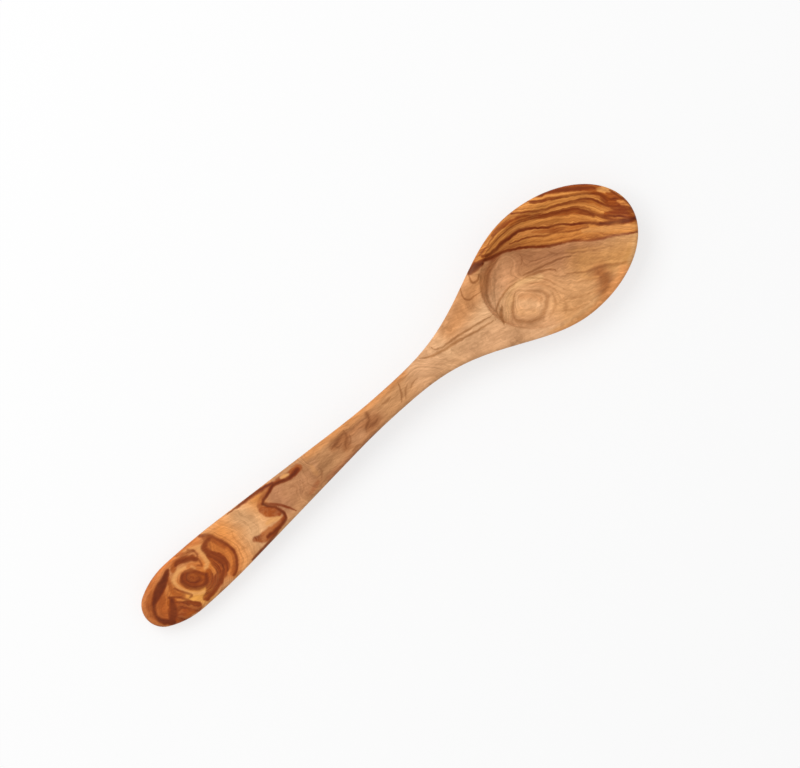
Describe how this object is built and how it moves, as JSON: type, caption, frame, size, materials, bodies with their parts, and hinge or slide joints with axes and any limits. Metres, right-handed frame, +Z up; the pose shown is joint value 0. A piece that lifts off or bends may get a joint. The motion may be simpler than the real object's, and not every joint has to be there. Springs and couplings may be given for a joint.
{
  "type": "wooden spoon",
  "caption": "Wooden cooking spoon carved from one piece, with an egg-shaped bowl, a slim neck and a flat handle that widens to a rounded end.",
  "frame": {"origin": "on the small flat under the belly on which the spoon rests, straight below the line of the handle", "axes": "+X along the handle towards the tip of the bowl, +Y to the left of the handle seen from above with the bowl ahead, +Z up, out of the hollow"},
  "size_m": [0.2995, 0.0609, 0.0173],
  "materials": {
    "wood": "figured olive wood, smooth, with a thin oiled sheen"
  },
  "bodies": {
    "root": {"spoon": "wood"}
  },
  "joints": []
}
